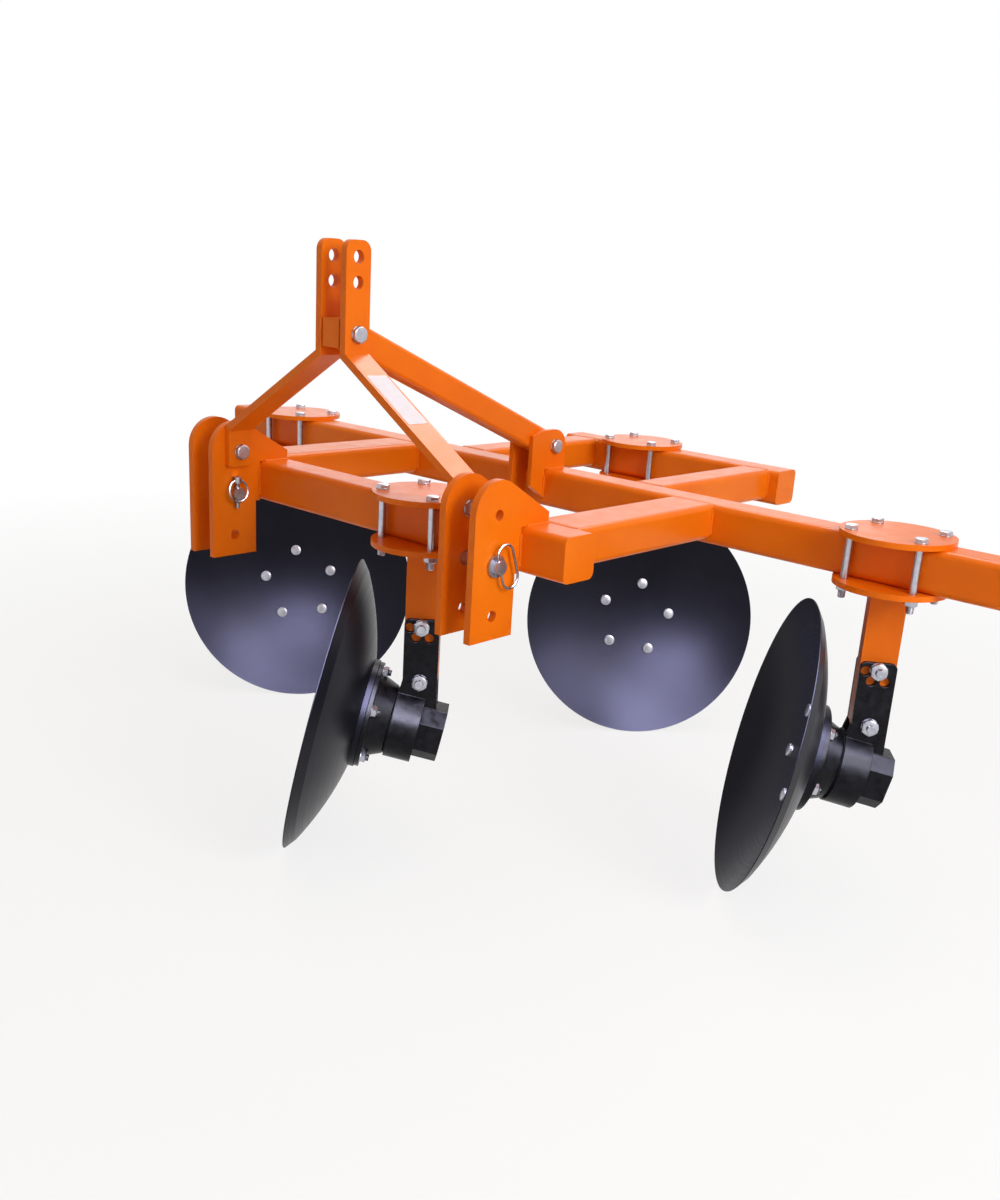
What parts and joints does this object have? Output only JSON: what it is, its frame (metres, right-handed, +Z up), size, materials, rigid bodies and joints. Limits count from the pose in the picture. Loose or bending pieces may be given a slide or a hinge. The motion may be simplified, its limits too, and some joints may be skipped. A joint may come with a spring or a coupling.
{
  "type": "disc ridger",
  "caption": "Mounted disc ridger: box-tube frame with three-point hitch clevises and bent-bar mast; dished discs on tilted bearing hubs hang from plate clamps.",
  "frame": {"origin": "on the ground under the middle of the machine's outline seen from above, 127.9 mm ahead of the main toolbar's centre line", "axes": "+X to the driver's left along the toolbars, +Y rearwards, +Z up"},
  "size_m": [2.5, 1.6478, 1.3032],
  "materials": {
    "orange_paint": "gloss",
    "black_paint": "gloss",
    "disc_enamel": "satin",
    "zinc_plate": "satin"
  },
  "bodies": {
    "frame": {"main_toolbar": "orange_paint", "front_beam": "orange_paint", "rear_beam": "orange_paint", "end_caps": "orange_paint", "front_rail_left": "orange_paint", "front_rail_right": "orange_paint", "rear_rail_left": "orange_paint", "rear_rail_right": "orange_paint", "hitch_plate_inner_left": "orange_paint", "hitch_plate_outer_left": "orange_paint", "hitch_plate_inner_right": "orange_paint", "hitch_plate_outer_right": "orange_paint", "hitch_pins": "zinc_plate", "linch_pins": "zinc_plate", "mast_bar_left": "orange_paint", "mast_bar_right": "orange_paint", "mast_strut": "orange_paint", "strut_lugs": "orange_paint", "mast_bolts": "zinc_plate", "clamp_top_right": "orange_paint", "shank_right": "orange_paint", "unit_bolts_right": "zinc_plate", "hub_carrier_right": "black_paint", "clamp_top_front": "orange_paint", "shank_front": "orange_paint", "unit_bolts_front": "zinc_plate", "hub_carrier_front": "black_paint", "clamp_top_rear": "orange_paint", "shank_rear": "orange_paint", "unit_bolts_rear": "zinc_plate", "hub_carrier_rear": "black_paint", "clamp_top_left": "orange_paint", "shank_left": "orange_paint", "unit_bolts_left": "zinc_plate", "hub_carrier_left": "black_paint"},
    "disc_body_right": {"disc_right": "disc_enamel", "hub_right": "black_paint"},
    "disc_body_front": {"disc_front": "disc_enamel", "hub_front": "black_paint"},
    "disc_body_rear": {"disc_rear": "disc_enamel", "hub_rear": "black_paint"},
    "disc_body_left": {"disc_left": "disc_enamel", "hub_left": "black_paint"}
  },
  "joints": [
    {"name": "disc_spin_right", "type": "hinge", "parent": "frame", "child": "disc_body_right", "pos_m": [-0.81409, -0.00407, 0.32321], "axis": [0.7655, -0.6089, 0.2079], "continuous": true},
    {"name": "disc_spin_front", "type": "hinge", "parent": "frame", "child": "disc_body_front", "pos_m": [-0.00478, -0.57257, 0.32321], "axis": [-0.7326, -0.6481, 0.2079], "continuous": true},
    {"name": "disc_spin_rear", "type": "hinge", "parent": "frame", "child": "disc_body_rear", "pos_m": [0.03805, 0.56132, 0.32321], "axis": [0.7154, -0.6671, 0.2079], "continuous": true},
    {"name": "disc_spin_left", "type": "hinge", "parent": "frame", "child": "disc_body_left", "pos_m": [0.77949, 0.00329, 0.32321], "axis": [-0.7913, -0.5749, 0.2079], "continuous": true}
  ]
}
